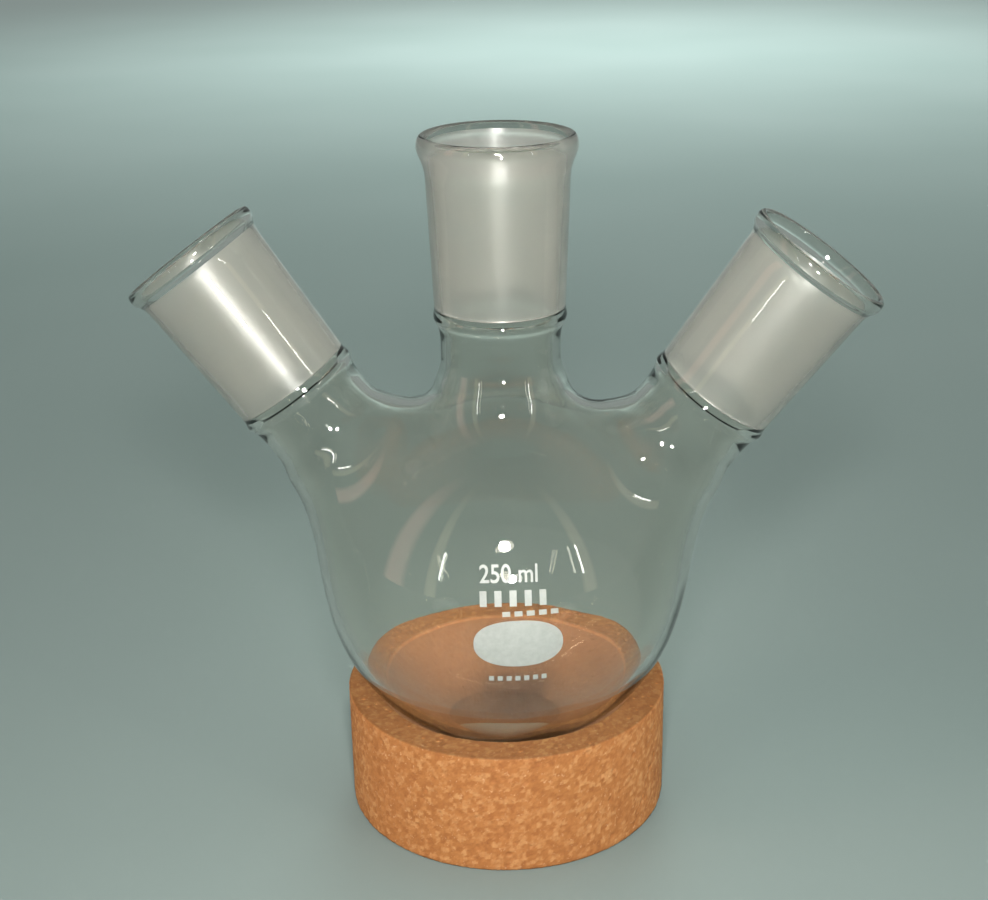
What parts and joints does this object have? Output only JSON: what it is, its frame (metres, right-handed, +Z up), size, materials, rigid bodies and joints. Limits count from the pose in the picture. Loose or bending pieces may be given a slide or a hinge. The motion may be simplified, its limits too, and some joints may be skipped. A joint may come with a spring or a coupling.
{
  "type": "three-neck round bottom flask with cork ring",
  "caption": "Glass round bottom flask with an upright centre neck and two slanted side necks, each with a ground taper socket, standing in a cork ring.",
  "frame": {"origin": "on the centre neck's axis, on the surface that the cork ring stands on", "axes": "+Z up along the centre neck, +X towards the right side neck, -Y towards the printed marks"},
  "size_m": [0.1678, 0.0856, 0.1613],
  "materials": {
    "cork": "agglomerated cork, fine grain, matt",
    "clear_glass": "clear fire-polished borosilicate glass",
    "ground_glass": "borosilicate glass, inside ground matt, outside clear",
    "white_enamel": "thin fired white enamel print, slightly matt"
  },
  "bodies": {
    "stand": {"cork_ring": "cork"},
    "flask": {"flask_bulb": "clear_glass", "centre_socket": "ground_glass", "left_socket": "ground_glass", "right_socket": "ground_glass", "capacity_mark": "white_enamel", "grade_bars": "white_enamel", "upper_line": "white_enamel", "writing_spot": "white_enamel", "lower_line": "white_enamel"}
  },
  "joints": [
    {"name": "flask_lift", "type": "slide", "parent": "stand", "child": "flask", "axis": [0, 0, 1], "range_m": [0, 0.08]}
  ]
}
